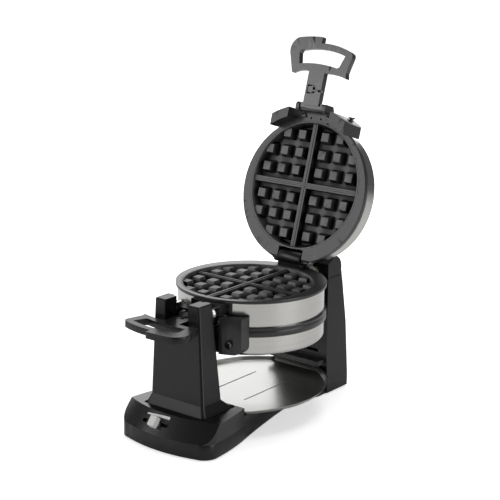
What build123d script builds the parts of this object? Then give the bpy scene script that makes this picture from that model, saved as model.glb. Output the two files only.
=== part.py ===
from build123d import *
import math
import os

# Placing: the ground is z = 0, the head turns about an axis along Y
head_y = 19.5
flip_z = 170.5

# Middle of the head
mid_half = 20.5
rim_radius = 105
rim_side = 4
band_inset = 3
band_radius = rim_radius - band_inset
band_wall = 1.1
skirt_fit = 0.1
skirt_radius = band_radius - band_wall - skirt_fit
skirt_wall = 2.2
block_fit = 0.2

# Cook plates
cavity_margin = 14.5
cavity_radius = rim_radius - cavity_margin
cavity_slope = 5
floor_radius = cavity_radius - cavity_slope
cavity_y = -7.3
cavity_depth = 13.4
plate_wall = 1.8
plate_fit = 0.3
rib_base = 10
rib_taper = 6
rib_recess = 2.8
ridge_width = 1.6
ridge_height = 0.7
peg_base = 19
peg_top = 12.5
peg_height = 11.2
peg_first = 20
peg_pitch = 26

# Lids
lid_gap = 0.35
lid_depth = 36
lid_dome = 1.2
bezel_face = 3.6
bezel_side = 8.5
bezel_lip = 2.5
shell_wall = 0.9
shell_fit = 0.3
shell_round = 6.5
tab_width = 34
tab_proud = 8
tab_reach = rim_radius + tab_proud
tab_gap = 0.6
open_angle = 107

# Hinge of each lid
hinge_inset = 7
hinge_y = rim_radius - hinge_inset
hinge_z = 32.1
knuckle_radius = 13
block_width = 39
block_front = hinge_y - 12
block_rear = hinge_y + knuckle_radius
notch_fit = 1.5
notch_rise = 3.5
ear_width = 8.7
ear_radius = 8.5
ear_gap = 1.8
pin_radius = 3
pin_fit = 0.05
relief_gap = 0.4
hinge_screw_x = 42
hinge_screw_y = hinge_y - 10

# Bracket at the front of each lid
bracket_fit = 1.3
bracket_depth = 13.7
bracket_inner = rim_radius + bracket_fit
bracket_outer = bracket_inner + bracket_depth
bracket_half = 64
bracket_notch = 36
bracket_low = 0.4
bracket_top = 50
bracket_corner = 9
bracket_wall = 3.2
notch_top = 18
arm_gap = 0.6
arm_width = 6
pivot_y = -bracket_outer + 3.5
pivot_z = 8
bracket_screw_x = 50
bracket_screw_z = 36
bracket_screw_radius = 5.5

# Handles
handle_low = 0.3
handle_thick = 9.2
stem_half = 13.5
base_half = 19
knob_radius = 5.2
stem_tail = 3
handle_pin_radius = 2
recess_depth = 5
latch_thick = 4

# Hub, trunnion and saddle at the front
hub_depth = 8
hub_root = 12
hub_front = band_radius + hub_depth
hub_half = 35
hub_wing = 42
hub_wing_radius = band_radius + 4
hub_short = 16
hub_height = 16.4
trunnion_radius = 32
trunnion_wall = 3
trunnion_half = 11.5
trunnion_reach = 24
trunnion_end = hub_front + trunnion_reach
saddle_fit = 0.08
saddle_radius = 36
saddle_front = trunnion_end
saddle_rear = trunnion_end - 6.5
seat_fit = 0.1

# Shaft and bearing at the rear
shaft_radius = 14
shaft_bore = 9
shaft_end = 153
shaft_fit = 0.06
bearing_radius = 20
bearing_front = 128
bearing_rear = 148
ring_radius = 18
ring_wall = 1.6

# Front column
column_top = 194.5
column_bottom = 46.5
foot_height = 60
gap_half = 20
gap_centre = -7

# Base
base_bottom = 1.4
base_wall = 2.6
front_height = 22
deck_height = 46.5
front_radius = 210
front_edge = 198
front_centre = front_radius - front_edge
panel_run = 20
deck_rear = -97
waist_height = 34.6
slot_z = 34
slot_left = -34
slot_right = 12
slot_width = 5
mark_depth = 4
mark_proud = 0.3
knob_x = -10
foot_radius = 9
cover_thick = 2
board_low = 11

# Rear upright
upright_front = 118
upright_back = 171
upright_half = 50
upright_wall = 3
cap_seam = 173
recess_half = 32
ledge_front = 100
ledge_half = 45
ledge_low = 46
ledge_high = 54
gland_z = 24
gland_radius = 8

# Drip tray
tray_floor = 36.2
tray_wall = 1
tray_rim = 41
tray_front = -95
tray_rear = 113


def section(frame):
    """Plane across the frame: its x stays and its y is the frame's height."""
    return Plane(origin=frame.origin, x_dir=frame.x_dir, z_dir=-frame.y_dir)


def side(frame, x):
    """Plane beside the frame at x: its x is the frame's y and its y the height."""
    origin = frame.from_local_coords(Vector(x, 0, 0))
    return Plane(origin=origin, x_dir=frame.y_dir, z_dir=frame.x_dir)


def at_pivot(frame):
    """The frame moved to the foot of its handle's pivot."""
    origin = frame.from_local_coords(Vector(0, pivot_y, 0))
    return Plane(origin=origin, x_dir=frame.x_dir, z_dir=frame.z_dir)


def save(part, name):
    part.label = name
    export_step(part, f"parts/{name}.step")


ground = Plane(origin=(0, head_y, 0), x_dir=(1, 0, 0), z_dir=(0, 0, 1))
upper = Plane(origin=(0, head_y, flip_z), x_dir=(1, 0, 0), z_dir=(0, 0, 1))
lower = Plane(origin=(0, head_y, flip_z), x_dir=(-1, 0, 0), z_dir=(0, 0, -1))
to_hinge = Pos(0, hinge_y, hinge_z)
from_hinge = Pos(0, -hinge_y, -hinge_z)
opened = Plane(upper.location * to_hinge * Rot(-open_angle, 0, 0) * from_hinge)

lid_face = mid_half + lid_gap
shell_top = mid_half + lid_depth
peg_taper = math.degrees(math.atan((peg_base - peg_top) / 2 / peg_height))
plate_radius = cavity_radius + plate_wall
plate_hole = plate_radius + plate_fit
plate_depth = cavity_depth + plate_wall


def face_up(frame):
    """Parting plane of the middle body, its normal out of the cavity."""
    origin = frame.from_local_coords(Vector(0, cavity_y, mid_half))
    return Plane(origin=origin, x_dir=frame.x_dir, z_dir=frame.z_dir)


def face_down(frame):
    """Parting plane of a lid, its normal out of the cavity."""
    origin = frame.from_local_coords(Vector(0, cavity_y, lid_face))
    return Plane(origin=origin, x_dir=-frame.x_dir, z_dir=-frame.z_dir)


# Cook plates: a dish with a cross of ribs and square pegs
peg_rows = [(0, 0), (0, 1), (0, 2), (1, 0), (1, 1), (1, 2), (2, 0), (2, 1)]
peg_spots = []
for sign_x in (-1, 1):
    for sign_y in (-1, 1):
        for column, row in peg_rows:
            peg_x = sign_x * (peg_first + column * peg_pitch)
            peg_y = sign_y * (peg_first + row * peg_pitch)
            peg_spots.append((peg_x, peg_y))


def cook_plate(face):
    with BuildPart(face) as plate:
        with BuildSketch(face.offset(-cavity_depth - plate_wall / 2)):
            with Locations(*peg_spots):
                Rectangle(peg_base, peg_base)
        extrude(amount=peg_height + plate_wall / 2, taper=peg_taper)
        with BuildSketch(face.offset(-cavity_depth - plate_wall / 2)):
            Rectangle(2 * plate_radius, rib_base)
            Rectangle(rib_base, 2 * plate_radius)
        extrude(amount=cavity_depth + plate_wall / 2 - rib_recess, taper=rib_taper)
        with BuildSketch(face.offset(-cavity_depth)):
            Rectangle(2 * plate_radius, ridge_width)
            Rectangle(ridge_width, 2 * plate_radius)
        extrude(amount=cavity_depth - rib_recess + ridge_height)
        with Locations((0, 0, -plate_depth)):
            Cone(
                floor_radius + plate_wall,
                plate_radius,
                plate_depth,
                align=(Align.CENTER, Align.CENTER, Align.MIN),
                mode=Mode.INTERSECT,
            )
        with BuildSketch(section(face)):
            Polygon(
                (0, -plate_depth),
                (floor_radius + plate_wall, -plate_depth),
                (plate_radius, 0),
                (cavity_radius, 0),
                (floor_radius, -cavity_depth),
                (0, -cavity_depth),
                align=None,
            )
        revolve(axis=Axis(face.origin, face.z_dir))
    return plate.part


# Heater: a bent tube under a plate, both ends turned to the rear
def heater(frame, level, tube, ring):
    with BuildPart() as coil:
        with BuildLine(frame.offset(level)):
            bend = CenterArc((0, cavity_y), ring, 100, 340)
        with BuildSketch(Plane(origin=bend @ 0, z_dir=bend % 0)):
            Circle(tube)
        sweep(path=bend)
    return coil.part


# Middle body
def mid_bezel(frame):
    with BuildPart(frame) as bezel:
        with BuildSketch(frame.offset(mid_half - rim_side)):
            Circle(rim_radius)
            with Locations((0, cavity_y)):
                Circle(plate_hole, mode=Mode.SUBTRACT)
        extrude(amount=rim_side)
        with BuildSketch(frame.offset(0.1)):
            Circle(skirt_radius)
            Circle(skirt_radius - skirt_wall, mode=Mode.SUBTRACT)
        extrude(amount=mid_half - rim_side - 0.1)
        with Locations((0, block_front + block_rear / 2, 0)):
            Box(block_width + 2 * block_fit, block_rear, 4 * mid_half, mode=Mode.SUBTRACT)
    return bezel.part


with BuildPart(upper) as mid_band:
    with BuildSketch(upper.offset(-mid_half + rim_side)):
        Circle(band_radius)
        Circle(band_radius - band_wall, mode=Mode.SUBTRACT)
    extrude(amount=2 * (mid_half - rim_side))
    with Locations((0, block_front + block_rear / 2, 0)):
        Box(block_width + 2 * block_fit, block_rear, 4 * mid_half, mode=Mode.SUBTRACT)


# Hinge block at the rear of the head, a knuckle for each lid
with BuildPart(upper) as hinge_block:
    with BuildSketch(side(upper, -block_width / 2)):
        with Locations((hinge_y, hinge_z), (hinge_y, -hinge_z)):
            Circle(knuckle_radius)
        with Locations(((block_front + block_rear) / 2, 0)):
            Rectangle(block_rear - block_front, 2 * hinge_z)
        with Locations((hinge_y, hinge_z), (hinge_y, -hinge_z)):
            Circle(pin_radius, mode=Mode.SUBTRACT)
    extrude(amount=block_width)


def hinge_pin(frame):
    pin_half = block_width / 2 + ear_gap + ear_width
    with BuildPart(frame) as pin:
        with BuildSketch(side(frame, -pin_half)):
            with Locations((hinge_y, hinge_z)):
                Circle(pin_radius)
        extrude(amount=2 * pin_half)
    return pin.part


rear_view = section(upper)
with BuildPart() as rear_shaft:
    with BuildSketch(rear_view.offset(-shaft_end)):
        Circle(shaft_radius)
        Circle(shaft_bore, mode=Mode.SUBTRACT)
    extrude(amount=shaft_end - block_rear)

with BuildPart() as shaft_ring:
    with BuildSketch(rear_view.offset(-bearing_rear - 0.4 - ring_wall)):
        Circle(ring_radius)
        Circle(shaft_radius, mode=Mode.SUBTRACT)
    extrude(amount=ring_wall)

with BuildPart() as thermostat:
    with BuildSketch(upper.offset(-0.3)):
        with Locations((-30, cavity_y)):
            Rectangle(16, 12)
    extrude(amount=5.4)


# Front hub: a stepped plate, the same when turned half round the axis
def hub_half_plate(frame):
    with BuildPart(frame) as plate:
        hub_middle = -(hub_front + band_radius - hub_root) / 2
        with Locations(((hub_half - hub_short) / 2, hub_middle, hub_height / 2)):
            Box(hub_half + hub_short, hub_depth + hub_root, hub_height)
        with BuildSketch(frame) as wing:
            Circle(hub_wing_radius)
            with Locations(((hub_wing + hub_half) / 2 - 1, -hub_wing_radius)):
                Rectangle(hub_wing - hub_half + 2, 40, mode=Mode.INTERSECT)
        extrude(amount=hub_height)
        with BuildSketch(frame):
            Circle(band_radius + 0.02)
        extrude(amount=hub_height, mode=Mode.SUBTRACT)
    return plate.part


hub_above = hub_half_plate(upper)
hub_below = hub_half_plate(lower)
with BuildPart() as front_hub:
    add(hub_above)
    add(hub_below)

with BuildPart() as front_trunnion:
    with BuildSketch(rear_view.offset(hub_front)):
        Circle(trunnion_radius)
        Circle(trunnion_radius - trunnion_wall, mode=Mode.SUBTRACT)
        Rectangle(3 * trunnion_radius, 2 * trunnion_half, mode=Mode.INTERSECT)
    extrude(amount=trunnion_end - hub_front)


# Lids
def lid_bezel(frame):
    ear_start = block_width / 2 + ear_gap
    with BuildPart(frame) as bezel:
        with BuildSketch(frame.offset(lid_face)):
            Circle(rim_radius)
            with Locations((0, -tab_reach + 5)):
                Rectangle(tab_width, 10)
            with Locations((0, cavity_y)):
                Circle(plate_hole, mode=Mode.SUBTRACT)
        extrude(amount=bezel_face)
        with BuildSketch(frame.offset(lid_face)):
            Circle(rim_radius)
            Circle(rim_radius - bezel_lip, mode=Mode.SUBTRACT)
        extrude(amount=bezel_side)
        with Locations((0, block_front - notch_fit + 30, lid_face)):
            Box(2 * ear_start, 60, 80, mode=Mode.SUBTRACT)
        for start in (ear_start, -ear_start - ear_width):
            with BuildSketch(side(frame, start)):
                with Locations((hinge_y, hinge_z)):
                    Circle(ear_radius)
                with Locations((hinge_y - 2, (lid_face + hinge_z) / 2 + 0.5)):
                    Rectangle(2 * ear_radius - 4, hinge_z - lid_face - 1)
            extrude(amount=ear_width)
        with BuildSketch(side(frame, -60)):
            with Locations((hinge_y + 20, hinge_z - 20)):
                Rectangle(40, 40)
            with Locations((hinge_y, hinge_z)):
                Circle(hinge_z - mid_half - relief_gap, mode=Mode.SUBTRACT)
        extrude(amount=120, mode=Mode.SUBTRACT)
        with BuildSketch(side(frame, -60)):
            with Locations((hinge_y, hinge_z)):
                Circle(pin_radius + pin_fit)
        extrude(amount=120, mode=Mode.SUBTRACT)
        with BuildSketch(frame.offset(lid_face)):
            with Locations((8.5, 1 - rim_radius), (-8.5, 1 - rim_radius)):
                Circle(1.5)
            with Locations((23, 7.5 - rim_radius)):
                Rectangle(7, 4)
        extrude(amount=2.4, mode=Mode.SUBTRACT)
        with BuildSketch(frame.offset(lid_face)):
            with Locations((hinge_screw_x, hinge_screw_y), (-hinge_screw_x, hinge_screw_y)):
                Circle(2.7)
        extrude(amount=1.6, mode=Mode.SUBTRACT)
    return bezel.part


def lid_screws(frame):
    with BuildPart(frame) as screws:
        with BuildSketch(frame.offset(lid_face + 0.3)):
            with Locations((hinge_screw_x, hinge_screw_y), (-hinge_screw_x, hinge_screw_y)):
                Circle(2.6)
        extrude(amount=1.3)
    return screws.part


def lid_shell(frame):
    shell_radius = rim_radius - bezel_lip - shell_fit
    low = lid_face + bezel_face
    with BuildPart(frame) as shell:
        with BuildSketch(section(frame)):
            with BuildLine():
                Line((shell_radius, low), (shell_radius, shell_top - shell_round))
                RadiusArc(
                    (shell_radius, shell_top - shell_round),
                    (shell_radius - shell_round, shell_top),
                    -shell_round,
                )
                Line((shell_radius - shell_round, shell_top), (0, shell_top + lid_dome))
                Line((0, shell_top + lid_dome), (0, shell_top + lid_dome - shell_wall))
                Line(
                    (0, shell_top + lid_dome - shell_wall),
                    (shell_radius - shell_round, shell_top - shell_wall),
                )
                RadiusArc(
                    (shell_radius - shell_round, shell_top - shell_wall),
                    (shell_radius - shell_wall, shell_top - shell_round),
                    shell_round - shell_wall,
                )
                Line((shell_radius - shell_wall, shell_top - shell_round), (shell_radius - shell_wall, low))
                Line((shell_radius - shell_wall, low), (shell_radius, low))
            make_face()
        revolve(axis=Axis(frame.origin, frame.z_dir))
        notch_half = block_width / 2 + ear_gap + ear_width + 0.5
        notch_high = hinge_z + knuckle_radius + notch_rise
        with Locations((0, block_front - notch_fit + 30, notch_high / 2)):
            Box(2 * notch_half, 60, notch_high, mode=Mode.SUBTRACT)
    return shell.part


# Bracket: a curved plate with a gap for the handle and two arms for its pin
def bracket(frame):
    reach = bracket_outer + 5
    with BuildPart(frame) as body:
        with BuildSketch(frame.offset(bracket_low)):
            Circle(bracket_outer)
            Circle(bracket_inner, mode=Mode.SUBTRACT)
            with Locations((0, -reach / 2 - 30)):
                Rectangle(2 * bracket_half + 4, reach, mode=Mode.INTERSECT)
        extrude(amount=bracket_top - bracket_low)
        with BuildSketch(section(frame).offset(reach)):
            with Locations((0, bracket_low + (bracket_top - bracket_low) / 2)):
                RectangleRounded(2 * bracket_half, bracket_top - bracket_low, bracket_corner)
            with Locations((0, bracket_low + bracket_corner / 2)):
                Rectangle(2 * bracket_half, bracket_corner)
        extrude(amount=-reach, mode=Mode.INTERSECT)
        with BuildSketch(frame.offset(bracket_low)):
            with Locations((0, -reach)):
                Rectangle(2 * bracket_notch, 60)
        extrude(amount=notch_top - bracket_low, mode=Mode.SUBTRACT)
        with BuildSketch(frame.offset(notch_top)):
            with Locations((0, -reach)):
                Rectangle(2 * bracket_notch, 60)
            Circle(bracket_inner + bracket_wall, mode=Mode.SUBTRACT)
        extrude(amount=bracket_top, mode=Mode.SUBTRACT)
        arm_start = base_half + arm_gap
        for start in (arm_start, -arm_start - arm_width):
            with BuildSketch(side(frame, start)):
                Polygon(
                    (pivot_y - 7, pivot_z - 4),
                    (pivot_y - 4, pivot_z - 7),
                    (pivot_y + 2.5, pivot_z - 7),
                    (pivot_y + 5.2, pivot_z - 4),
                    (pivot_y + 5.2, notch_top - 0.5),
                    (-bracket_inner - 0.2, notch_top + 3.5),
                    (-bracket_inner - 0.9, notch_top + 12),
                    (pivot_y - 7, notch_top + 4),
                    align=None,
                )
                with Locations((pivot_y, pivot_z)):
                    Circle(handle_pin_radius, mode=Mode.SUBTRACT)
            extrude(amount=arm_width)
        with BuildSketch(frame.offset(lid_face + 0.6)):
            Circle(bracket_inner + 1)
            Circle(rim_radius + 0.03, mode=Mode.SUBTRACT)
            with Locations((0, -reach)):
                Rectangle(2 * bracket_half - 12, 90, mode=Mode.INTERSECT)
        extrude(amount=bezel_side - 1.2)
        with Locations((0, -reach + 10, lid_face + bezel_face + tab_gap - 15)):
            Box(tab_width + 2 * tab_gap, 50, 30, mode=Mode.SUBTRACT)
        with BuildSketch(section(frame).offset(reach)):
            with Locations((bracket_screw_x, bracket_screw_z), (-bracket_screw_x, bracket_screw_z)):
                Circle(3.1)
        extrude(amount=-reach, mode=Mode.SUBTRACT)
    return body.part


def bracket_screws(frame):
    front = math.sqrt(bracket_outer**2 - bracket_screw_x**2)
    back = math.sqrt((rim_radius - bezel_lip - shell_fit) ** 2 - bracket_screw_x**2)
    with BuildPart(frame) as screws:
        with BuildSketch(section(frame).offset(front - 3)):
            with Locations((bracket_screw_x, bracket_screw_z), (-bracket_screw_x, bracket_screw_z)):
                Circle(3)
        extrude(amount=back - front + 4.9)
        with BuildSketch(section(frame).offset(front + 2.9)):
            with Locations((bracket_screw_x, bracket_screw_z), (-bracket_screw_x, bracket_screw_z)):
                Circle(bracket_screw_radius)
        extrude(amount=1.6, taper=25)
        with BuildSketch(section(frame).offset(front + 2.9)):
            with Locations((bracket_screw_x, bracket_screw_z), (-bracket_screw_x, bracket_screw_z)):
                Circle(3)
        extrude(amount=-6)
    return screws.part


def handle_pin(frame):
    pin_half = base_half + arm_gap + arm_width
    with BuildPart(frame) as pin:
        with BuildSketch(side(frame, -pin_half)):
            with Locations((pivot_y, pivot_z)):
                Circle(handle_pin_radius)
        extrude(amount=2 * pin_half)
    return pin.part


# Handle: a stem on a pivot and an open loop, drawn from the pivot outwards
def handle(frame):
    with BuildPart(frame) as grip:
        with BuildSketch(at_pivot(frame).offset(handle_low)):
            with BuildLine():
                Line((-stem_half, -stem_tail), (-stem_half, -51.5))
                ThreePointArc((-stem_half, -51.5), (-30, -51.9), (-43, -47.5))
                Line((-43, -47.5), (-51, -71.5))
                ThreePointArc((-51, -71.5), (-50.5, -90.5), (-41, -98.5))
                ThreePointArc((-41, -98.5), (-20, -101.1), (-1, -101.5))
                Line((-1, -101.5), (-1, -92.5))
                ThreePointArc((-1, -92.5), (25, -90.9), (49, -84.5))
                ThreePointArc((49, -84.5), (53.5, -81.5), (55, -76.5))
                Line((55, -76.5), (49.5, -53.5))
                Line((49.5, -53.5), (51, -45.5))
                ThreePointArc((51, -45.5), (33, -49.5), (stem_half, -50.5))
                Line((stem_half, -50.5), (stem_half, -stem_tail))
                Line((stem_half, -stem_tail), (-stem_half, -stem_tail))
            make_face()
            with BuildLine():
                Line((-36, -76.5), (-33, -61))
                ThreePointArc((-33, -61), (0, -63), (33, -59))
                Line((33, -59), (36.5, -61))
                Line((36.5, -61), (43, -77))
                ThreePointArc((43, -77), (4, -84), (-34, -80.5))
                Line((-34, -80.5), (-36, -76.5))
            make_face(mode=Mode.SUBTRACT)
        extrude(amount=handle_thick)
        with BuildSketch(side(frame, -base_half)):
            with Locations((pivot_y, pivot_z)):
                Circle(knob_radius)
            Polygon(
                (pivot_y, pivot_z - knob_radius),
                (pivot_y - 7, pivot_z - knob_radius),
                (pivot_y - 7, pivot_z + 3),
                (pivot_y - 3, pivot_z + 4.2),
                (pivot_y, pivot_z),
                align=None,
            )
        extrude(amount=2 * base_half)
        with BuildSketch(side(frame, -base_half)):
            with Locations((pivot_y, pivot_z)):
                Circle(handle_pin_radius + pin_fit)
        extrude(amount=2 * base_half, mode=Mode.SUBTRACT)
        with BuildSketch(at_pivot(frame).offset(handle_low)):
            with Locations((-4, -26)):
                RectangleRounded(14, 13, 2)
            with Locations((7, -24.5)):
                Rectangle(13, 3)
        extrude(amount=recess_depth, mode=Mode.SUBTRACT)
    return grip.part


# Latch: a small bar that slides across in the recess of the stem
def latch(frame):
    with BuildPart(frame) as bar:
        with BuildSketch(at_pivot(frame).offset(handle_low + recess_depth - latch_thick)):
            with Locations((-6.2, -26)):
                RectangleRounded(9, 9, 2)
            with Locations((1.5, -24.5)):
                Rectangle(12, 2.4)
        extrude(amount=latch_thick)
    return bar.part


# Base: ground outline drawn once, used at several insets
def base_outline(inset):
    """Front half of the base and its waist, seen from above."""
    with BuildSketch() as outline:
        with BuildLine():
            ThreePointArc((-60, -189.2), (0, -198), (60, -189.2))
            ThreePointArc((60, -189.2), (74, -181), (78, -168))
            ThreePointArc((78, -168), (73.5, -128), (66, -94))
            ThreePointArc((66, -94), (50, -26), (40, 25))
            ThreePointArc((40, 25), (38.5, 58), (48, 100))
            Line((48, 100), (48, upright_front))
            Line((48, upright_front), (-48, upright_front))
            Line((-48, upright_front), (-48, 100))
            ThreePointArc((-48, 100), (-38.5, 58), (-40, 25))
            ThreePointArc((-40, 25), (-50, -26), (-66, -94))
            ThreePointArc((-66, -94), (-73.5, -128), (-78, -168))
            ThreePointArc((-78, -168), (-74, -181), (-60, -189.2))
        make_face()
        if inset:
            offset(amount=-inset, mode=Mode.REPLACE)
    return outline.sketch


def front_body(inset, low, high):
    """Front of the base behind its sloping panel."""
    outline = base_outline(inset)
    with BuildPart(ground) as body:
        with BuildSketch(ground.offset(low)):
            add(outline)
            with Locations((0, deck_rear - inset - 100)):
                Rectangle(300, 200, mode=Mode.INTERSECT)
        extrude(amount=high - low)
        slope = panel_run / (deck_height - front_height)
        lift = inset * math.sqrt(1 + slope**2) / slope
        base_radius = front_radius + slope * (front_height - low) - slope * lift
        top_radius = front_radius + slope * (front_height - high) - slope * lift
        with Locations((0, front_centre, low)):
            Cone(
                base_radius,
                top_radius,
                high - low,
                align=(Align.CENTER, Align.CENTER, Align.MIN),
                mode=Mode.INTERSECT,
            )
    return body.part


panel_rise = deck_height - front_height
slot_y = front_centre - front_radius + panel_run * (slot_z - front_height) / panel_rise
panel_normal = (0, -panel_rise, panel_run)
panel = Plane(origin=(0, head_y + slot_y, slot_z), x_dir=(1, 0, 0), z_dir=panel_normal)

deck_inner = front_body(base_wall, front_height - 1, deck_height - base_wall)
mark_skin = front_body(-mark_proud, front_height, deck_height)
with BuildPart() as heat_mark:
    with BuildSketch(panel.offset(-mark_depth)):
        Polygon((-31, 9.2), (9, 9.2), (9, 13.2), (6, 13.2), (-31, 11), align=None)
    extrude(amount=2 * mark_depth)
    add(mark_skin, mode=Mode.INTERSECT)
mark_space = heat_mark.part
with BuildPart() as control_deck:
    add(front_body(0, front_height, deck_height))
    add(deck_inner, mode=Mode.SUBTRACT)
    add(mark_space, mode=Mode.SUBTRACT)
    with BuildSketch(panel.offset(-8)):
        with Locations(((slot_left + slot_right) / 2, 0)):
            SlotOverall(slot_right - slot_left, slot_width)
    extrude(amount=20, mode=Mode.SUBTRACT)
    with BuildSketch(panel.offset(-8)):
        with Locations((22, 1)):
            Circle(1.6)
    extrude(amount=20, mode=Mode.SUBTRACT)
    with BuildSketch(ground.offset(deck_height - 1.5)):
        with Locations((0, -131.5)):
            RectangleRounded(108, 67, 6)
    extrude(amount=2, mode=Mode.SUBTRACT)

base_plan = base_outline(0)
base_inner = base_outline(base_wall)
with BuildPart(ground) as base_shell:
    with BuildSketch(ground.offset(base_bottom)):
        add(base_plan)
    extrude(amount=front_height - base_bottom)
    with BuildSketch(ground.offset(front_height - 1)):
        add(base_plan)
        with Locations((0, deck_rear + 200)):
            Rectangle(300, 400, mode=Mode.INTERSECT)
    extrude(amount=waist_height - front_height + 1)
    with BuildSketch(ground.offset(base_bottom)):
        add(base_inner)
    extrude(amount=front_height - base_bottom, mode=Mode.SUBTRACT)
    with BuildSketch(ground.offset(front_height - 1)):
        add(base_inner)
        with Locations((0, deck_rear + base_wall + 200)):
            Rectangle(300, 400, mode=Mode.INTERSECT)
    extrude(amount=waist_height - base_wall - front_height + 1, mode=Mode.SUBTRACT)

cover_top = base_bottom + cover_thick
with BuildPart(ground) as bottom_cover:
    with BuildSketch(ground.offset(base_bottom)):
        add(base_outline(base_wall + 0.3))
    extrude(amount=cover_thick)

with BuildPart(ground) as feet:
    with BuildSketch(ground):
        with Locations((58, -165), (-58, -165)):
            Circle(foot_radius)
        with Locations((34, 100), (-34, 100)):
            Circle(foot_radius)
    extrude(amount=base_bottom)

with BuildPart(ground) as base_screws:
    with BuildSketch(ground.offset(cover_top)):
        with Locations((60, -120), (-60, -120), (30, 60), (-30, 60)):
            Circle(3.5)
    extrude(amount=6)


# Front column: two prongs above a tapered post with a flared foot
with BuildPart(ground) as front_column:
    with BuildSketch(ground.offset(foot_height)):
        with Locations((0, -138.2)):
            RectangleRounded(91, 39.6, 4)
    with BuildSketch(ground.offset(column_top)):
        with Locations((0, -143.5)):
            RectangleRounded(76, 27, 3)
    loft()
    chamfer(front_column.faces().sort_by(Axis.Z)[-1].edges(), 1.2)
    with BuildSketch(ground.offset(column_bottom - 1.5)):
        with Locations((0, -131.5)):
            RectangleRounded(104, 63, 5)
    with BuildSketch(ground.offset(foot_height)):
        with Locations((0, -138.2)):
            RectangleRounded(91, 39.6, 4)
    loft()
    with BuildSketch(section(upper).offset(170)):
        with Locations((0, gap_centre)):
            Circle(gap_half)
        with Locations((0, gap_centre + 50)):
            Rectangle(2 * gap_half, 100)
    extrude(amount=-60, mode=Mode.SUBTRACT)
    with BuildSketch(section(upper).offset(saddle_front)):
        Circle(saddle_radius + seat_fit)
    extrude(amount=-30, mode=Mode.SUBTRACT)
    with BuildSketch(ground.offset(column_bottom - 1.5)):
        with Locations((0, -137)):
            Rectangle(76, 30)
    extrude(amount=84, mode=Mode.SUBTRACT)

with BuildPart(upper) as column_screws:
    for start, length in ((-gap_half, 2), (gap_half, -2)):
        with BuildSketch(side(upper, start)):
            with Locations((-145, 8)):
                Circle(3.4)
        extrude(amount=length)

with BuildPart(upper) as front_saddle:
    with BuildSketch(section(upper).offset(saddle_front)):
        Circle(saddle_radius)
        Circle(trunnion_radius + saddle_fit, mode=Mode.SUBTRACT)
        with Locations((0, -saddle_radius / 2)):
            Rectangle(3 * saddle_radius, saddle_radius, mode=Mode.INTERSECT)
    extrude(amount=saddle_rear - saddle_front)


# Rear upright: a side profile crossed with a tapered front profile
def upright_body(inset, extra):
    with BuildPart(ground) as body:
        with BuildSketch(side(ground, -60)):
            with BuildLine():
                Polyline(
                    (upright_front + inset, base_bottom - extra),
                    (upright_front + inset, 56),
                    (129 + inset, 193 - inset),
                    (148, 202.5 - inset),
                )
                ThreePointArc(
                    (148, 202.5 - inset),
                    (157.5 - inset * 0.7, 197 - inset * 0.7),
                    (161 - inset, 181),
                )
                Polyline(
                    (161 - inset, 181),
                    (164 - inset, 163),
                    (170 - inset, 100),
                    (upright_back - inset, base_bottom - extra),
                    (upright_front + inset, base_bottom - extra),
                )
            make_face()
        extrude(amount=120)
        with BuildSketch(section(ground).offset(-100)):
            Polygon(
                (-upright_half + inset, base_bottom - extra),
                (upright_half - inset, base_bottom - extra),
                (upright_half - inset, 20),
                (39.5 - inset, 203),
                (-39.5 + inset, 203),
                (-upright_half + inset, 20),
                align=None,
            )
        extrude(amount=-80, mode=Mode.INTERSECT)
    return body.part


with BuildPart() as bearing_cut:
    with BuildSketch(rear_view.offset(-110)):
        Circle(bearing_radius + 0.1)
    extrude(amount=-44)
bearing_space = bearing_cut.part
upright_outer = upright_body(0, 0)
upright_inner = upright_body(upright_wall, -upright_wall)
with BuildPart() as rear_upright:
    add(upright_outer)
    add(upright_inner, mode=Mode.SUBTRACT)
    ledge_y = head_y + (ledge_front + upright_front) / 2 + 1.5
    with Locations((0, ledge_y, (ledge_low + ledge_high) / 2)):
        Box(2 * ledge_half, upright_front - ledge_front + 3, ledge_high - ledge_low)
    with BuildSketch(side(ground, -recess_half)):
        Polygon((110, 62), (upright_front + 9, 62), (139, 186), (120, 186), align=None)
    extrude(amount=2 * recess_half, mode=Mode.SUBTRACT)
    add(bearing_space, mode=Mode.SUBTRACT)
    with Locations((0, head_y + 145, cap_seam + 50)):
        Box(200, 100, 100, mode=Mode.SUBTRACT)
    with BuildSketch(section(ground).offset(-upright_back - 10)):
        with Locations((0, gland_z)):
            Circle(gland_radius)
    extrude(amount=20, mode=Mode.SUBTRACT)

with BuildPart() as upright_cap:
    add(upright_outer)
    add(upright_inner, mode=Mode.SUBTRACT)
    with BuildSketch(side(ground, -recess_half)):
        Polygon((110, 62), (upright_front + 9, 62), (139, 186), (120, 186), align=None)
    extrude(amount=2 * recess_half, mode=Mode.SUBTRACT)
    add(bearing_space, mode=Mode.SUBTRACT)
    with Locations((0, head_y + 145, cap_seam + 0.3 - 150)):
        Box(200, 100, 300, mode=Mode.SUBTRACT)

with BuildPart(ground) as upright_panel:
    with BuildSketch(side(ground, -recess_half + 0.2)):
        Polygon((125.6, 62.2), (128.6, 62.2), (138.6, 185.8), (135.6, 185.8), align=None)
    extrude(amount=2 * recess_half - 0.4)
    with BuildSketch(rear_view.offset(-100)):
        Circle(bearing_radius + 0.1)
    extrude(amount=-60, mode=Mode.SUBTRACT)

with BuildPart() as rear_bearing:
    with BuildSketch(rear_view.offset(-bearing_rear)):
        Circle(bearing_radius)
        Circle(shaft_radius + shaft_fit, mode=Mode.SUBTRACT)
    extrude(amount=bearing_rear - bearing_front)
    with BuildSketch(rear_view.offset(-bearing_rear)):
        with Locations((0, -15)):
            Rectangle(66, 66)
        Circle(bearing_radius, mode=Mode.SUBTRACT)
    extrude(amount=4)

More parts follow.
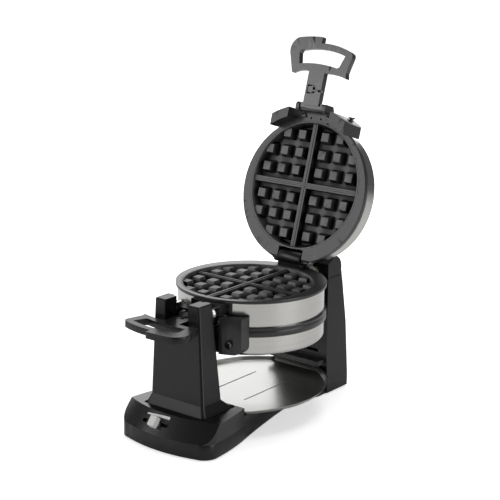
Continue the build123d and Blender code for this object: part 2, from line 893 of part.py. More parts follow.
# Controls
with BuildPart() as slide_knob:
    with BuildSketch(panel.offset(0.9)):
        with Locations((knob_x, 0)):
            RectangleRounded(11.5, 15, 2)
    extrude(amount=8.5, taper=4)
    with BuildSketch(panel.offset(-6)):
        with Locations((knob_x, 0)):
            Rectangle(8, slot_width - 0.6)
    extrude(amount=8)

with BuildPart() as slide_pot:
    with BuildSketch(panel.offset(-13)):
        with Locations(((slot_left + slot_right) / 2, 0)):
            Rectangle(54, 12)
    extrude(amount=6.6)

with BuildPart() as indicator_lens:
    with BuildSketch(panel.offset(-7)):
        with Locations((22, 1)):
            Circle(1.5)
    extrude(amount=6.8)

with BuildPart(ground) as control_board:
    with BuildSketch(ground.offset(board_low)):
        with Locations((0, -150)):
            Rectangle(80, 50)
    extrude(amount=1.6)
    with BuildSketch(ground.offset(cover_top)):
        with Locations((36, -130), (-36, -130), (36, -170), (-36, -170)):
            Circle(2.5)
    extrude(amount=board_low - cover_top)

with BuildPart(ground) as terminal_block:
    with Locations((0, 0, cover_top + 7)):
        Box(30, 24, 14)

with BuildPart(ground) as cord_gland:
    with BuildSketch(section(ground).offset(-upright_back - 6)):
        with Locations((0, gland_z)):
            Circle(gland_radius)
            Circle(3.6, mode=Mode.SUBTRACT)
    extrude(amount=12)

# Drip tray: a shallow dish with a rolled rim and two creases
def tray_outline(inset):
    with BuildSketch() as outline:
        with BuildLine():
            ThreePointArc((80, 79), (104, 5), (79, -79))
            ThreePointArc((79, -79), (73.5, -87.5), (66, tray_front))
            Line((66, tray_front), (-66, tray_front))
            ThreePointArc((-66, tray_front), (-73.5, -87.5), (-79, -79))
            ThreePointArc((-79, -79), (-104, 5), (-80, 79))
            ThreePointArc((-80, 79), (-62, 97.5), (-40, tray_rear))
            Line((-40, tray_rear), (40, tray_rear))
            ThreePointArc((40, tray_rear), (62, 97.5), (80, 79))
        make_face()
        if inset:
            offset(amount=-inset, mode=Mode.REPLACE)
    return outline.sketch


with BuildPart(ground) as drip_tray:
    with BuildSketch(ground.offset(tray_floor - tray_wall)):
        add(tray_outline(5))
    with BuildSketch(ground.offset(tray_rim)):
        add(tray_outline(0))
    loft()
    with BuildSketch(ground.offset(tray_floor)):
        add(tray_outline(5 + tray_wall))
    with BuildSketch(ground.offset(tray_rim)):
        add(tray_outline(tray_wall + 0.6))
    loft(mode=Mode.SUBTRACT)
    with BuildSketch(ground.offset(tray_floor)):
        with Locations((29.5, 0), (-29.5, 0)):
            Rectangle(1.4, 100)
    extrude(amount=0.6)

os.makedirs("parts", exist_ok=True)
save(mid_band.part, "mid_band")
save(hinge_block.part, "hinge_block")
save(rear_shaft.part, "rear_shaft")
save(shaft_ring.part, "shaft_ring")
save(thermostat.part, "thermostat")
save(front_hub.part, "front_hub")
save(front_trunnion.part, "front_trunnion")
head_nodes = {
    "mid_bezel": mid_bezel(upper),
    "mid_plate": cook_plate(face_up(upper)),
    "mid_heater": heater(upper, 2.8, 2.3, 62),
    "hinge_pin": hinge_pin(upper),
}
lid_nodes = {
    "lid_shell": lid_shell(upper),
    "lid_bezel": lid_bezel(upper),
    "lid_plate": cook_plate(face_down(upper)),
    "lid_heater": heater(upper, lid_face + plate_depth + 3.3, 3.2, 62),
    "lid_screws": lid_screws(upper),
    "bracket": bracket(upper),
    "bracket_screws": bracket_screws(upper),
    "handle_pin": handle_pin(upper),
    "handle": handle(upper),
    "latch": latch(upper),
}
for half, head_frame, lid_frame in (("upper", upper, opened), ("lower", lower, lower)):
    to_head = head_frame.location * upper.location.inverse()
    to_lid = lid_frame.location * upper.location.inverse()
    for name, part in head_nodes.items():
        save(to_head * part, f"{half}_{name}")
    for name, part in lid_nodes.items():
        save(to_lid * part, f"{half}_{name}")
save(base_shell.part, "base_shell")
save(control_deck.part, "control_deck")
save(bottom_cover.part, "bottom_cover")
save(feet.part, "feet")
save(base_screws.part, "base_screws")
save(front_column.part, "front_column")
save(column_screws.part, "column_screws")
save(front_saddle.part, "front_saddle")
save(rear_upright.part, "rear_upright")
save(upright_cap.part, "upright_cap")
save(upright_panel.part, "upright_panel")
save(rear_bearing.part, "rear_bearing")
save(slide_knob.part, "slide_knob")
save(slide_pot.part, "slide_pot")
save(heat_mark.part, "heat_mark")
save(indicator_lens.part, "indicator_lens")
save(control_board.part, "control_board")
save(terminal_block.part, "terminal_block")
save(cord_gland.part, "cord_gland")
save(drip_tray.part, "drip_tray")
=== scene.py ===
"""Looks of a flip-over waffle maker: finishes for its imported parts, detail pieces and a studio."""

import math

import bmesh
import bpy
from mathutils import Matrix, Vector


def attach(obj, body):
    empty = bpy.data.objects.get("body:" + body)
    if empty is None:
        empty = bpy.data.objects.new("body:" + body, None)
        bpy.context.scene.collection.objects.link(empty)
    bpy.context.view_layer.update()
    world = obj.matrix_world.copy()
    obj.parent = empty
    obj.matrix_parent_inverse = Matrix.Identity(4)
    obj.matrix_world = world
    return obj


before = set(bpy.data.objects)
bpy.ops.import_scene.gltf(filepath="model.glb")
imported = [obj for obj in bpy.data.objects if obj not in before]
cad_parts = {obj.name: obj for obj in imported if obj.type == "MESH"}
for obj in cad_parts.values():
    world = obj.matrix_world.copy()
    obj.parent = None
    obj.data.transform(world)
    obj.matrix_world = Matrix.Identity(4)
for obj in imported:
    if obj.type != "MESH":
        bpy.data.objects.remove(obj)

bl_info = {
    "name": "Waffle Maker Looks",
    "version": (1, 0, 0),
    "blender": (4, 5, 0),
    "location": "View3D > Sidebar > Waffle",
    "description": "Dresses the packed waffle maker with finishes, detail pieces and a studio",
    "category": "Object",
}


# Settings


class WAFFLE_PG_colours(bpy.types.PropertyGroup):
    steel: bpy.props.StringProperty(
        name="Steel", description="Brushed stainless steel, sRGB hex", default="C9C8C5"
    )
    tray: bpy.props.StringProperty(
        name="Tray", description="Drip tray steel, sRGB hex", default="BFBFBD"
    )
    polished: bpy.props.StringProperty(
        name="Polished", description="Polished steel, sRGB hex", default="D4D4D4"
    )
    moulding: bpy.props.StringProperty(
        name="Moulding", description="Black moulded plastic, sRGB hex", default="0F0F0F"
    )
    deck: bpy.props.StringProperty(
        name="Deck", description="Glossy black control deck, sRGB hex", default="101010"
    )
    coating: bpy.props.StringProperty(
        name="Coating", description="Non-stick plate coating, sRGB hex", default="3C3C3D"
    )
    bezel: bpy.props.StringProperty(
        name="Bezel", description="Heat-proof black of bezels and handles, sRGB hex", default="2A2A2B"
    )
    dull: bpy.props.StringProperty(name="Dull", description="Dull screw steel, sRGB hex", default="565656")
    rubber: bpy.props.StringProperty(name="Rubber", description="Rubber feet, sRGB hex", default="161616")
    knob: bpy.props.StringProperty(name="Knob", description="Silver paint, sRGB hex", default="DEDEDC")
    inner: bpy.props.StringProperty(name="Inner", description="Inner plastic, sRGB hex", default="D8D2C4")
    board: bpy.props.StringProperty(name="Board", description="Circuit board, sRGB hex", default="2E5A38")
    lens: bpy.props.StringProperty(name="Lens", description="Indicator lens, sRGB hex", default="2A1210")


class WAFFLE_PG_sizes(bpy.types.PropertyGroup):
    edge: bpy.props.FloatProperty(
        name="Edge", description="Width of a moulded edge's rounding", default=0.0008, unit="LENGTH"
    )
    grain: bpy.props.FloatProperty(
        name="Grain", description="Width of one brushing line", default=0.0004, unit="LENGTH"
    )
    texture: bpy.props.FloatProperty(
        name="Texture", description="Size of the fine texture on mouldings", default=0.0007, unit="LENGTH"
    )


class WAFFLE_PG_marks(bpy.types.PropertyGroup):
    length: bpy.props.FloatProperty(
        name="Length", description="Length of a screw's cross", default=0.0032, unit="LENGTH"
    )
    width: bpy.props.FloatProperty(
        name="Width", description="Width of a screw's cross", default=0.0008, unit="LENGTH"
    )
    height: bpy.props.FloatProperty(
        name="Height", description="Height of a screw's cross", default=0.0003, unit="LENGTH"
    )
    head_y: bpy.props.FloatProperty(name="Head Y", description="Y of the head", default=0.0195, unit="LENGTH")
    head_z: bpy.props.FloatProperty(
        name="Head Z", description="Height of the head's axis", default=0.1705, unit="LENGTH"
    )
    hinge_y: bpy.props.FloatProperty(
        name="Hinge Y", description="Y of a lid's hinge from the head", default=0.098, unit="LENGTH"
    )
    hinge_z: bpy.props.FloatProperty(
        name="Hinge Z", description="Height of a lid's hinge over the head", default=0.0321, unit="LENGTH"
    )
    opened: bpy.props.FloatProperty(
        name="Opened", description="Angle of the open lid", default=math.radians(107), subtype="ANGLE"
    )


class WAFFLE_PG_view(bpy.types.PropertyGroup):
    azimuth: bpy.props.FloatProperty(
        name="Azimuth", description="Camera azimuth", default=math.radians(38.17), subtype="ANGLE"
    )
    elevation: bpy.props.FloatProperty(
        name="Elevation", description="Camera elevation", default=math.radians(14.61), subtype="ANGLE"
    )
    roll: bpy.props.FloatProperty(
        name="Roll", description="Camera roll", default=math.radians(0.59), subtype="ANGLE"
    )
    place: bpy.props.FloatVectorProperty(
        name="Place", description="Camera location", default=(1.1327, -1.4250, 0.7123), unit="LENGTH"
    )
    focal_length: bpy.props.FloatProperty(
        name="Focal length", description="Lens in mm for a 36 mm sensor", default=98.96
    )


# Nodes and materials


def srgb(text):
    """Linear RGBA of an sRGB hex colour."""
    values = [int(text[i : i + 2], 16) / 255 for i in (0, 2, 4)]
    return [v / 12.92 if v <= 0.04045 else ((v + 0.055) / 1.055) ** 2.4 for v in values] + [1.0]


def add_node(tree, kind, settings=None, inputs=None):
    """One node with its settings and its inputs, each a value or an output socket."""
    node = tree.nodes.new(kind)
    for name, value in (settings or {}).items():
        setattr(node, name, value)
    for name, value in (inputs or {}).items():
        if isinstance(value, bpy.types.NodeSocket):
            tree.links.new(value, node.inputs[name])
        else:
            node.inputs[name].default_value = value
    return node


def new_material(name):
    """A new material and its node tree, with no nodes in it."""
    material = bpy.data.materials.new(name)
    material.use_nodes = True
    tree = material.node_tree
    tree.nodes.clear()
    return material, tree


def object_coords(tree, scale, turn=(0, 0, 0)):
    """Object coordinates turned, then scaled."""
    coords = add_node(tree, "ShaderNodeTexCoord")
    turned = add_node(
        tree,
        "ShaderNodeVectorRotate",
        {"rotation_type": "EULER_XYZ"},
        {"Vector": coords.outputs["Object"], "Rotation": turn},
    )
    mapped = add_node(
        tree, "ShaderNodeVectorMath", {"operation": "MULTIPLY"}, {0: turned.outputs[0], 1: scale}
    )
    return mapped.outputs[0]


def noise(tree, vector, scale=1.0, detail=3.0, roughness=0.5):
    """Noise value on the given coordinates."""
    inputs = {"Vector": vector, "Scale": scale, "Detail": detail, "Roughness": roughness}
    return add_node(tree, "ShaderNodeTexNoise", None, inputs).outputs[0]


def spread(tree, value, low, high, start=0.3, end=0.7):
    """The value stretched from start and end to low and high."""
    inputs = {"Value": value, "From Min": start, "From Max": end, "To Min": low, "To Max": high}
    return add_node(tree, "ShaderNodeMapRange", None, inputs).outputs["Result"]


def tint(tree, factor, dark, light):
    """Colour between two by a factor."""
    inputs = {0: factor, 6: dark, 7: light}
    return add_node(tree, "ShaderNodeMix", {"data_type": "RGBA"}, inputs).outputs[2]


def shade(text, factor):
    """Linear colour made darker or lighter by a factor."""
    return [v * factor for v in srgb(text)[:3]] + [1.0]


def surface(tree, inputs, height=None, strength=0.2, distance=0.0001):
    """Principled shader on the output, with an optional bump."""
    inputs = dict(inputs)
    if height is not None:
        bump = add_node(
            tree, "ShaderNodeBump", None, {"Height": height, "Strength": strength, "Distance": distance}
        )
        inputs["Normal"] = bump.outputs["Normal"]
    shader = add_node(tree, "ShaderNodeBsdfPrincipled", None, inputs)
    output = tree.nodes.new("ShaderNodeOutputMaterial")
    tree.links.new(shader.outputs["BSDF"], output.inputs["Surface"])


def brushed(name, colour, grain, lines, turn=(0, 0, 0), rough=(0.13, 0.21), along=6.0, cells=14.0):
    """Brushed steel: fine lines that vary its roughness, tone and height, and wide clouds."""
    material, tree = new_material(name)
    scale = [(1 / grain if axis in lines else along) for axis in "xyz"]
    fine = noise(tree, object_coords(tree, scale, turn), 1.0, 4.0, 0.6)
    wide = noise(tree, object_coords(tree, [cells] * 3, turn), 1.0, 2.0)
    colour_out = tint(tree, spread(tree, fine, 0.0, 1.0), shade(colour, 0.86), shade(colour, 1.04))
    mixed = add_node(
        tree,
        "ShaderNodeMath",
        {"operation": "MULTIPLY_ADD"},
        {0: wide, 1: 0.06, 2: spread(tree, fine, *rough)},
    )
    surface(
        tree,
        {"Base Color": colour_out, "Metallic": 1.0, "Roughness": mixed.outputs[0]},
        fine,
        0.12,
        0.00005,
    )
    return material


def polished(name, colour, rough=(0.08, 0.2), cells=90.0):
    """Polished steel with faint wear."""
    material, tree = new_material(name)
    wear = noise(tree, object_coords(tree, [cells] * 3), 1.0, 4.0)
    surface(
        tree,
        {"Base Color": srgb(colour), "Metallic": 1.0, "Roughness": spread(tree, wear, *rough)},
        wear,
        0.03,
    )
    return material


def paint_hollow_shade(tree, colour, reach, steepness=2.2, darkest_painted_shade="060606"):
    """The colour with painted shade, darker where ambient occlusion finds the surface deep between others,
    and how open it lies as the share of painted light.
    """
    # Painted shade: ambient occlusion mixes the colour towards a near-black in hollows
    shade_occlusion = add_node(tree, "ShaderNodeAmbientOcclusion", {"samples": 8}, {"Distance": reach})
    inputs = {0: shade_occlusion.outputs["AO"], 1: steepness}
    painted_light_share = add_node(tree, "ShaderNodeMath", {"operation": "POWER"}, inputs).outputs[0]
    return tint(tree, painted_light_share, srgb(darkest_painted_shade), colour), painted_light_share


def moulded(name, colour, texture, rough=(0.26, 0.36), bump=0.1, coat=0.0, cells=22.0):
    """Moulded plastic with a fine spark-eroded texture."""
    material, tree = new_material(name)
    grains = noise(tree, object_coords(tree, [1 / texture] * 3), 1.0, 3.0, 0.6)
    cloud = noise(tree, object_coords(tree, [cells] * 3), 1.0, 3.0)
    colour_out = tint(tree, spread(tree, cloud, 0.0, 1.0), shade(colour, 0.9), shade(colour, 1.12))
    surface(
        tree,
        {
            "Base Color": colour_out,
            "Roughness": spread(tree, grains, *rough),
            "Specular IOR Level": 0.35,
            "Coat Weight": coat,
            "Coat Roughness": 0.2,
        },
        grains,
        bump,
        0.00008,
    )
    return material


def coated(name, colour, texture, reach=0.012, cells=35.0):
    """Non-stick coating on cast metal: satin with a faint speckle, and painted shade that darkens it and dims
    its sheen between its pegs.
    """
    material, tree = new_material(name)
    speck = noise(tree, object_coords(tree, [1 / texture] * 3), 1.0, 5.0, 0.7)
    cloud = noise(tree, object_coords(tree, [cells] * 3), 1.0, 2.0)
    colour_out = tint(tree, spread(tree, speck, 0.0, 1.0), shade(colour, 0.82), shade(colour, 1.18))
    rough = add_node(
        tree,
        "ShaderNodeMath",
        {"operation": "MULTIPLY_ADD"},
        {0: cloud, 1: 0.12, 2: spread(tree, speck, 0.3, 0.4)},
    )
    # Painted shade: ambient occlusion darkens the base colour and dims the specular level between the pegs
    colour_with_painted_shade, painted_sheen_share = paint_hollow_shade(tree, colour_out, reach)
    level = add_node(tree, "ShaderNodeMath", {"operation": "MULTIPLY"}, {0: painted_sheen_share, 1: 0.7})
    surface(
        tree,
        {
            "Base Color": colour_with_painted_shade,
            "Roughness": rough.outputs[0],
            "Specular IOR Level": level.outputs[0],
        },
        speck,
        0.1,
        0.00006,
    )
    return material


def make_materials(scene):
    """Every material by a short key."""
    colours = scene.waffle_colours
    sizes = scene.waffle_sizes
    opened = (scene.waffle_marks.opened, 0, 0)
    return {
        "steel": brushed("Brushed stainless steel", colours.steel, sizes.grain, "z"),
        "steel_open": brushed("Brushed stainless steel, open lid", colours.steel, sizes.grain, "z", opened),
        "tray": brushed("Satin tray steel", colours.tray, sizes.grain, "xyz", rough=(0.24, 0.28)),
        "polished": polished("Polished steel", colours.polished),
        "screw": polished("Screw steel", colours.tray),
        "dull": polished("Dull steel", colours.dull, (0.3, 0.45)),
        "bezel": moulded("Heat-proof black plastic", colours.bezel, sizes.texture, (0.3, 0.4), 0.16, 0.25),
        "moulding": moulded("Black moulded plastic", colours.moulding, sizes.texture),
        "deck": moulded("Glossy black plastic", colours.deck, sizes.texture, (0.2, 0.28), 0.04, 0.3),
        "coating": coated("Non-stick coating", colours.coating, sizes.texture),
        "grip": moulded("Satin grip plastic", colours.bezel, sizes.texture, (0.3, 0.38), 0.06, 0.8),
        "rubber": moulded("Rubber", colours.rubber, sizes.texture, (0.6, 0.8), 0.3),
        "knob": moulded("Silver paint", colours.knob, sizes.texture, (0.25, 0.35), 0.03, 0.4),
        "inner": moulded("Heat-proof plastic", colours.inner, sizes.texture, (0.5, 0.6)),
        "board": moulded("Circuit board", colours.board, sizes.texture, (0.3, 0.4)),
        "lens": moulded("Indicator lens", colours.lens, sizes.texture, (0.1, 0.15), 0.02, 0.6),
    }


def soften(obj, width):
    """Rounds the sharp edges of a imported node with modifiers, its mesh as it is."""
    weld = obj.modifiers.new("weld", "WELD")
    weld.merge_threshold = 0.000005
    bevel = obj.modifiers.new("edges", "BEVEL")
    bevel.width = width
    bevel.segments = 2
    bevel.limit_method = "ANGLE"
    bevel.angle_limit = math.radians(32)
    bevel.use_clamp_overlap = True
    bevel.harden_normals = True


def dress(names, material, width=0.0):
    """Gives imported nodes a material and, with a width, rounded edges."""
    for name in names:
        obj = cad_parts[name]
        if not obj.material_slots:
            obj.data.materials.append(material)
        for entry in obj.material_slots:
            entry.link = "OBJECT"
            entry.material = material
        if width:
            soften(obj, width)


# Every finish by its short key, filled by waffle.materials
MATERIALS = {}


# Pieces

# Place and direction of each cross, from the head's middle with the lid shut, in metres
LID_SPOTS = (
    ((0.042, 0.088, 0.02115), (0.0, 0.0, -1.0)),
    ((-0.042, 0.088, 0.02115), (0.0, 0.0, -1.0)),
    ((0.05, -0.11359, 0.036), (0.0, -1.0, 0.0)),
    ((-0.05, -0.11359, 0.036), (0.0, -1.0, 0.0)),
)
COLUMN_SPOTS = (
    ((-0.018, -0.145, 0.008), (1.0, 0.0, 0.0)),
    ((0.018, -0.145, 0.008), (-1.0, 0.0, 0.0)),
)
# A small triangle that carries one cross, and the node group's measures
TRIANGLE = ((1, 0), (-0.5, 0.8), (-0.5, -0.8))
TRIANGLE_SHARE = 0.01
MEASURES = ("Length", "Width", "Height")


def socket_id(group, name):
    """Identifier of a node group's input."""
    for item in group.interface.items_tree:
        if item.name == name and item.in_out == "INPUT":
            return item.identifier


def repeat_group(name):
    """Node group that puts a small cross on every point of a mesh, along its normal."""
    group = bpy.data.node_groups.new(name, "GeometryNodeTree")
    group.interface.new_socket("Geometry", in_out="INPUT", socket_type="NodeSocketGeometry")
    for measure in MEASURES:
        group.interface.new_socket(measure, in_out="INPUT", socket_type="NodeSocketFloat")
    group.interface.new_socket("Material", in_out="INPUT", socket_type="NodeSocketMaterial")
    group.interface.new_socket("Geometry", in_out="OUTPUT", socket_type="NodeSocketGeometry")
    start = group.nodes.new("NodeGroupInput")
    end = group.nodes.new("NodeGroupOutput")
    bars = []
    for across in (False, True):
        size = add_node(group, "ShaderNodeCombineXYZ")
        group.links.new(start.outputs["Length"], size.inputs["Y" if across else "X"])
        group.links.new(start.outputs["Width"], size.inputs["X" if across else "Y"])
        group.links.new(start.outputs["Height"], size.inputs["Z"])
        bars.append(add_node(group, "GeometryNodeMeshCube", None, {"Size": size.outputs[0]}))
    cross = group.nodes.new("GeometryNodeJoinGeometry")
    for bar in bars:
        group.links.new(bar.outputs["Mesh"], cross.inputs[0])
    normal = group.nodes.new("GeometryNodeInputNormal")
    turn = add_node(
        group, "FunctionNodeAlignRotationToVector", {"axis": "Z"}, {"Vector": normal.outputs[0]}
    )
    spread_out = add_node(
        group,
        "GeometryNodeInstanceOnPoints",
        None,
        {
            "Points": start.outputs["Geometry"],
            "Instance": cross.outputs[0],
            "Rotation": turn.outputs["Rotation"],
        },
    )
    real = add_node(
        group, "GeometryNodeRealizeInstances", None, {"Geometry": spread_out.outputs["Instances"]}
    )
    painted = add_node(
        group,
        "GeometryNodeSetMaterial",
        None,
        {"Geometry": real.outputs[0], "Material": start.outputs["Material"]},
    )
    group.links.new(painted.outputs[0], end.inputs[0])
    return group


def marks(name, spots, sizes, material):
    """Small raised marks at spots, each a place and a direction, made by a node group and converted."""
    mesh = bpy.data.meshes.new(name)
    work = bmesh.new()
    small = sizes["Length"] * TRIANGLE_SHARE
    for place, direction in spots:
        axis = Vector(direction).normalized()
        side = axis.orthogonal().normalized()
        other = axis.cross(side)
        corners = [Vector(place) + small * (side * a + other * b) for a, b in TRIANGLE]
        work.faces.new([work.verts.new(corner) for corner in corners])
    work.to_mesh(mesh)
    work.free()
    holder = bpy.data.objects.new(name, mesh)
    bpy.context.collection.objects.link(holder)
    group = repeat_group(name)
    modifier = holder.modifiers.new("repeat", "NODES")
    modifier.node_group = group
    for measure in MEASURES:
        modifier[socket_id(group, measure)] = sizes[measure]
    modifier[socket_id(group, "Material")] = material
    depsgraph = bpy.context.evaluated_depsgraph_get()
    made = bpy.data.meshes.new_from_object(holder.evaluated_get(depsgraph))
    holder.modifiers.remove(modifier)
    holder.data = made
    made.name = name
    return holder


class WAFFLE_OT_materials(bpy.types.Operator):
    """Makes every material"""

    bl_idname = "waffle.materials"
    bl_label = "Make Materials"

    def execute(self, context):
        MATERIALS.update(make_materials(context.scene))
        return {"FINISHED"}


class WAFFLE_OT_head(bpy.types.Operator):
    """Dresses the middle of the head, its hub, hinge block and shaft"""

    bl_idname = "waffle.head"
    bl_label = "Dress Head"

    def execute(self, context):
        edge = context.scene.waffle_sizes.edge
        dress(["mid_band"], MATERIALS["steel"])
        dress(["upper_mid_bezel", "lower_mid_bezel"], MATERIALS["bezel"], edge)
        dress(["hinge_block", "front_hub"], MATERIALS["moulding"], edge)
        dress(["upper_mid_plate", "lower_mid_plate"], MATERIALS["coating"], edge)
        dress(["front_trunnion"], MATERIALS["polished"], edge / 2)
        dress(["rear_shaft", "upper_hinge_pin", "lower_hinge_pin"], MATERIALS["polished"])
        dress(["shaft_ring", "upper_mid_heater", "lower_mid_heater"], MATERIALS["screw"])
        dress(["thermostat"], MATERIALS["inner"])
        return {"FINISHED"}


class WAFFLE_OT_lids(bpy.types.Operator):
    """Dresses the two lids and their brackets"""

    bl_idname = "waffle.lids"
    bl_label = "Dress Lids"

    def execute(self, context):
        edge = context.scene.waffle_sizes.edge
        dress(["upper_lid_shell"], MATERIALS["steel_open"])
        dress(["lower_lid_shell"], MATERIALS["steel"])
        for half in ("upper", "lower"):
            dress([f"{half}_lid_bezel", f"{half}_bracket"], MATERIALS["bezel"], edge)
            dress([f"{half}_lid_plate"], MATERIALS["coating"], edge)
            dress([f"{half}_lid_screws", f"{half}_bracket_screws"], MATERIALS["dull"])
            dress([f"{half}_lid_heater", f"{half}_handle_pin"], MATERIALS["dull"])
        return {"FINISHED"}


class WAFFLE_OT_handles(bpy.types.Operator):
    """Dresses the two handles and their latches"""

    bl_idname = "waffle.handles"
    bl_label = "Dress Handles"

    def execute(self, context):
        edge = context.scene.waffle_sizes.edge
        dress(["upper_handle"], MATERIALS["grip"], edge * 2)
        dress(["lower_handle"], MATERIALS["moulding"], edge * 2)
        dress(["upper_latch", "lower_latch"], MATERIALS["dull"], edge / 2)
        return {"FINISHED"}


class WAFFLE_OT_base(bpy.types.Operator):
    """Dresses the base, the column, the upright and the tray"""

    bl_idname = "waffle.base"
    bl_label = "Dress Base"

    def execute(self, context):
        edge = context.scene.waffle_sizes.edge
        dress(["base_shell", "rear_upright", "upright_cap"], MATERIALS["moulding"], edge)
        dress(["front_column"], MATERIALS["moulding"], edge * 1.5)
        dress(["bottom_cover", "upright_panel"], MATERIALS["moulding"])
        dress(["control_deck"], MATERIALS["deck"])
        dress(["column_screws", "base_screws"], MATERIALS["dull"])
        dress(["slide_pot"], MATERIALS["moulding"])
        dress(["front_saddle", "rear_bearing", "terminal_block"], MATERIALS["inner"])
        dress(["control_board"], MATERIALS["board"])
        dress(["feet", "cord_gland"], MATERIALS["rubber"], edge / 2)
        dress(["slide_knob"], MATERIALS["knob"], edge)
        dress(["heat_mark"], MATERIALS["knob"])
        dress(["indicator_lens"], MATERIALS["lens"])
        dress(["drip_tray"], MATERIALS["tray"], edge / 3)
        return {"FINISHED"}


class WAFFLE_OT_marks(bpy.types.Operator):
    """Puts the crosses on the screws of the lids, the brackets and the column"""

    bl_idname = "waffle.marks"
    bl_label = "Mark Screws"

    def execute(self, context):
        values = context.scene.waffle_marks
        sizes = {measure: getattr(values, measure.lower()) for measure in MEASURES}
        head = Matrix.Translation((0.0, values.head_y, values.head_z))
        hinge = Matrix.Translation((0.0, values.hinge_y, values.hinge_z))
        swing = hinge @ Matrix.Rotation(-values.opened, 4, "X") @ hinge.inverted()
        turned = Matrix.Rotation(math.pi, 4, "Y")
        sets = (
            ("upper_lid_crosses", LID_SPOTS, head @ swing, "upper_lid"),
            ("lower_lid_crosses", LID_SPOTS, head @ turned, "lower_lid"),
            ("column_crosses", COLUMN_SPOTS, head, "base"),
        )
        for name, spots, place, body in sets:
            turn = place.to_3x3()
            placed = [(place @ Vector(spot), turn @ Vector(way)) for spot, way in spots]
            piece = marks(name, placed, sizes, MATERIALS["moulding"])
            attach(piece, body)
        return {"FINISHED"}


# Studio

# Name, place, width and height, and radiance of each light, all aimed at one point
LIGHTS = (
    ("front", (-1.35, -2.1, 1.0), (2.2, 1.2), 3.3),
    ("right", (2.6, 0.3, 0.7), (1.6, 1.5), 3.2),
    ("left", (-2.5, 0.2, 0.9), (1.0, 1.6), 1.6),
    ("top", (0.1, 0.4, 2.6), (2.2, 2.2), 2.4),
    ("rear", (-1.7, 2.3, 0.8), (2.6, 1.2), 2.0),
)
LIGHTS_TARGET = (0.0, 0.0, 0.22)
FLOOR_HALF_WIDTH = 6.0
FLOOR_TONES = ("F8F8F8", "FDFDFD")
# The floor's glow to the camera grows from the first to the second value between these distances
FLOOR_GLOW = (0.55, 1.05)
FLOOR_GLOW_REACH = (0.3, 1.1)
# Strength of the white surroundings as light, and as the camera sees them
WORLD_LIGHT = 0.12
WORLD_SEEN = 1.1
WHITE = (1, 1, 1, 1)
SENSOR_WIDTH = 36.0


def area_light(name, place, target, size, radiance):
    """A rectangular soft light of a given brightness that looks at a target."""
    data = bpy.data.lights.new(name, "AREA")
    data.shape = "RECTANGLE"
    data.size = size[0]
    data.size_y = size[1]
    data.energy = radiance * math.pi * size[0] * size[1]
    light = bpy.data.objects.new(name, data)
    light.location = place
    light.rotation_euler = (Vector(target) - Vector(place)).to_track_quat("-Z", "Y").to_euler()
    light.visible_camera = False
    bpy.context.collection.objects.link(light)


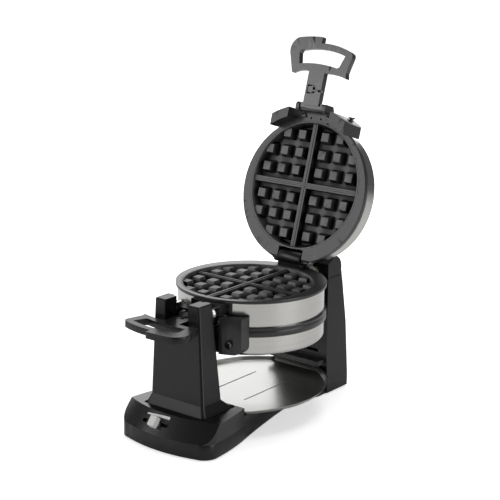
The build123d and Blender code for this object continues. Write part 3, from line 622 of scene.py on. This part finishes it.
class WAFFLE_OT_studio(bpy.types.Operator):
    """Makes the floor, the lights, the white surroundings and the camera"""

    bl_idname = "waffle.studio"
    bl_label = "Build Studio"

    def execute(self, context):
        scene = context.scene
        view = scene.waffle_view
        mesh = bpy.data.meshes.new("floor")
        work = bmesh.new()
        bmesh.ops.create_grid(work, x_segments=8, y_segments=8, size=FLOOR_HALF_WIDTH)
        work.to_mesh(mesh)
        work.free()
        floor = bpy.data.objects.new("floor", mesh)
        context.collection.objects.link(floor)
        material, tree = new_material("Pale floor")
        cloud = noise(tree, object_coords(tree, [2.0] * 3), 1.0, 2.0)
        tone = tint(tree, spread(tree, cloud, 0.0, 1.0), *(srgb(text) for text in FLOOR_TONES))
        seen = add_node(tree, "ShaderNodeLightPath")
        reach = add_node(
            tree, "ShaderNodeVectorMath", {"operation": "LENGTH"}, {0: object_coords(tree, [1.0] * 3)}
        )
        glow = add_node(
            tree,
            "ShaderNodeMath",
            {"operation": "MULTIPLY"},
            {
                0: seen.outputs["Is Camera Ray"],
                1: spread(tree, reach.outputs["Value"], *FLOOR_GLOW, *FLOOR_GLOW_REACH),
            },
        )
        surface(
            tree,
            {
                "Base Color": tone,
                "Roughness": 0.6,
                "Specular IOR Level": 0.2,
                "Emission Color": srgb("FFFFFF"),
                "Emission Strength": glow.outputs[0],
            },
        )
        mesh.materials.append(material)
        for name, place, size, radiance in LIGHTS:
            area_light(name, place, LIGHTS_TARGET, size, radiance)
        world = bpy.data.worlds.new("studio")
        world.use_nodes = True
        scene.world = world
        nodes = world.node_tree
        nodes.nodes.clear()
        path = add_node(nodes, "ShaderNodeLightPath")
        dim = add_node(nodes, "ShaderNodeBackground", None, {"Color": WHITE, "Strength": WORLD_LIGHT})
        white = add_node(nodes, "ShaderNodeBackground", None, {"Color": WHITE, "Strength": WORLD_SEEN})
        mixed = add_node(
            nodes,
            "ShaderNodeMixShader",
            None,
            {0: path.outputs["Is Camera Ray"], 1: dim.outputs[0], 2: white.outputs[0]},
        )
        output = nodes.nodes.new("ShaderNodeOutputWorld")
        nodes.links.new(mixed.outputs[0], output.inputs["Surface"])
        scene.view_settings.view_transform = "Standard"
        camera_data = bpy.data.cameras.new("camera")
        camera_data.lens = view.focal_length
        camera_data.sensor_width = SENSOR_WIDTH
        camera = bpy.data.objects.new("camera", camera_data)
        context.collection.objects.link(camera)
        az, el, roll = view.azimuth, view.elevation, view.roll
        back = Vector((math.sin(az) * math.cos(el), -math.cos(az) * math.cos(el), math.sin(el)))
        right = Vector((math.cos(az), math.sin(az), 0.0))
        up = back.cross(right)
        side = right * math.cos(roll) + up * math.sin(roll)
        top = up * math.cos(roll) - right * math.sin(roll)
        turn = Matrix((side, top, back)).transposed().to_4x4()
        camera.matrix_world = Matrix.Translation(view.place) @ turn
        scene.camera = camera
        return {"FINISHED"}


class WAFFLE_PT_panel(bpy.types.Panel):
    """Sizes, colours and steps of the waffle maker"""

    bl_label = "Waffle Maker"
    bl_idname = "WAFFLE_PT_panel"
    bl_space_type = "VIEW_3D"
    bl_region_type = "UI"
    bl_category = "Waffle"

    def draw(self, context):
        scene = context.scene
        for group in (scene.waffle_colours, scene.waffle_sizes, scene.waffle_marks, scene.waffle_view):
            box = self.layout.box()
            for name in group.bl_rna.properties.keys():
                if name not in ("rna_type", "name"):
                    box.prop(group, name)
        for operator in OPERATORS:
            self.layout.operator(operator.bl_idname)


GROUPS = (WAFFLE_PG_colours, WAFFLE_PG_sizes, WAFFLE_PG_marks, WAFFLE_PG_view)
OPERATORS = (
    WAFFLE_OT_materials,
    WAFFLE_OT_head,
    WAFFLE_OT_lids,
    WAFFLE_OT_handles,
    WAFFLE_OT_base,
    WAFFLE_OT_marks,
    WAFFLE_OT_studio,
)


def register():
    for item in (*GROUPS, *OPERATORS, WAFFLE_PT_panel):
        bpy.utils.register_class(item)
    bpy.types.Scene.waffle_colours = bpy.props.PointerProperty(type=WAFFLE_PG_colours)
    bpy.types.Scene.waffle_sizes = bpy.props.PointerProperty(type=WAFFLE_PG_sizes)
    bpy.types.Scene.waffle_marks = bpy.props.PointerProperty(type=WAFFLE_PG_marks)
    bpy.types.Scene.waffle_view = bpy.props.PointerProperty(type=WAFFLE_PG_view)


def unregister():
    del bpy.types.Scene.waffle_view
    del bpy.types.Scene.waffle_marks
    del bpy.types.Scene.waffle_sizes
    del bpy.types.Scene.waffle_colours
    for item in reversed((*GROUPS, *OPERATORS, WAFFLE_PT_panel)):
        bpy.utils.unregister_class(item)


def main():
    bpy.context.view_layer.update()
    register()
    bpy.ops.waffle.materials()
    bpy.ops.waffle.head()
    bpy.ops.waffle.lids()
    bpy.ops.waffle.handles()
    bpy.ops.waffle.base()
    bpy.ops.waffle.marks()
    bpy.ops.waffle.studio()


if __name__ == "__main__":
    main()
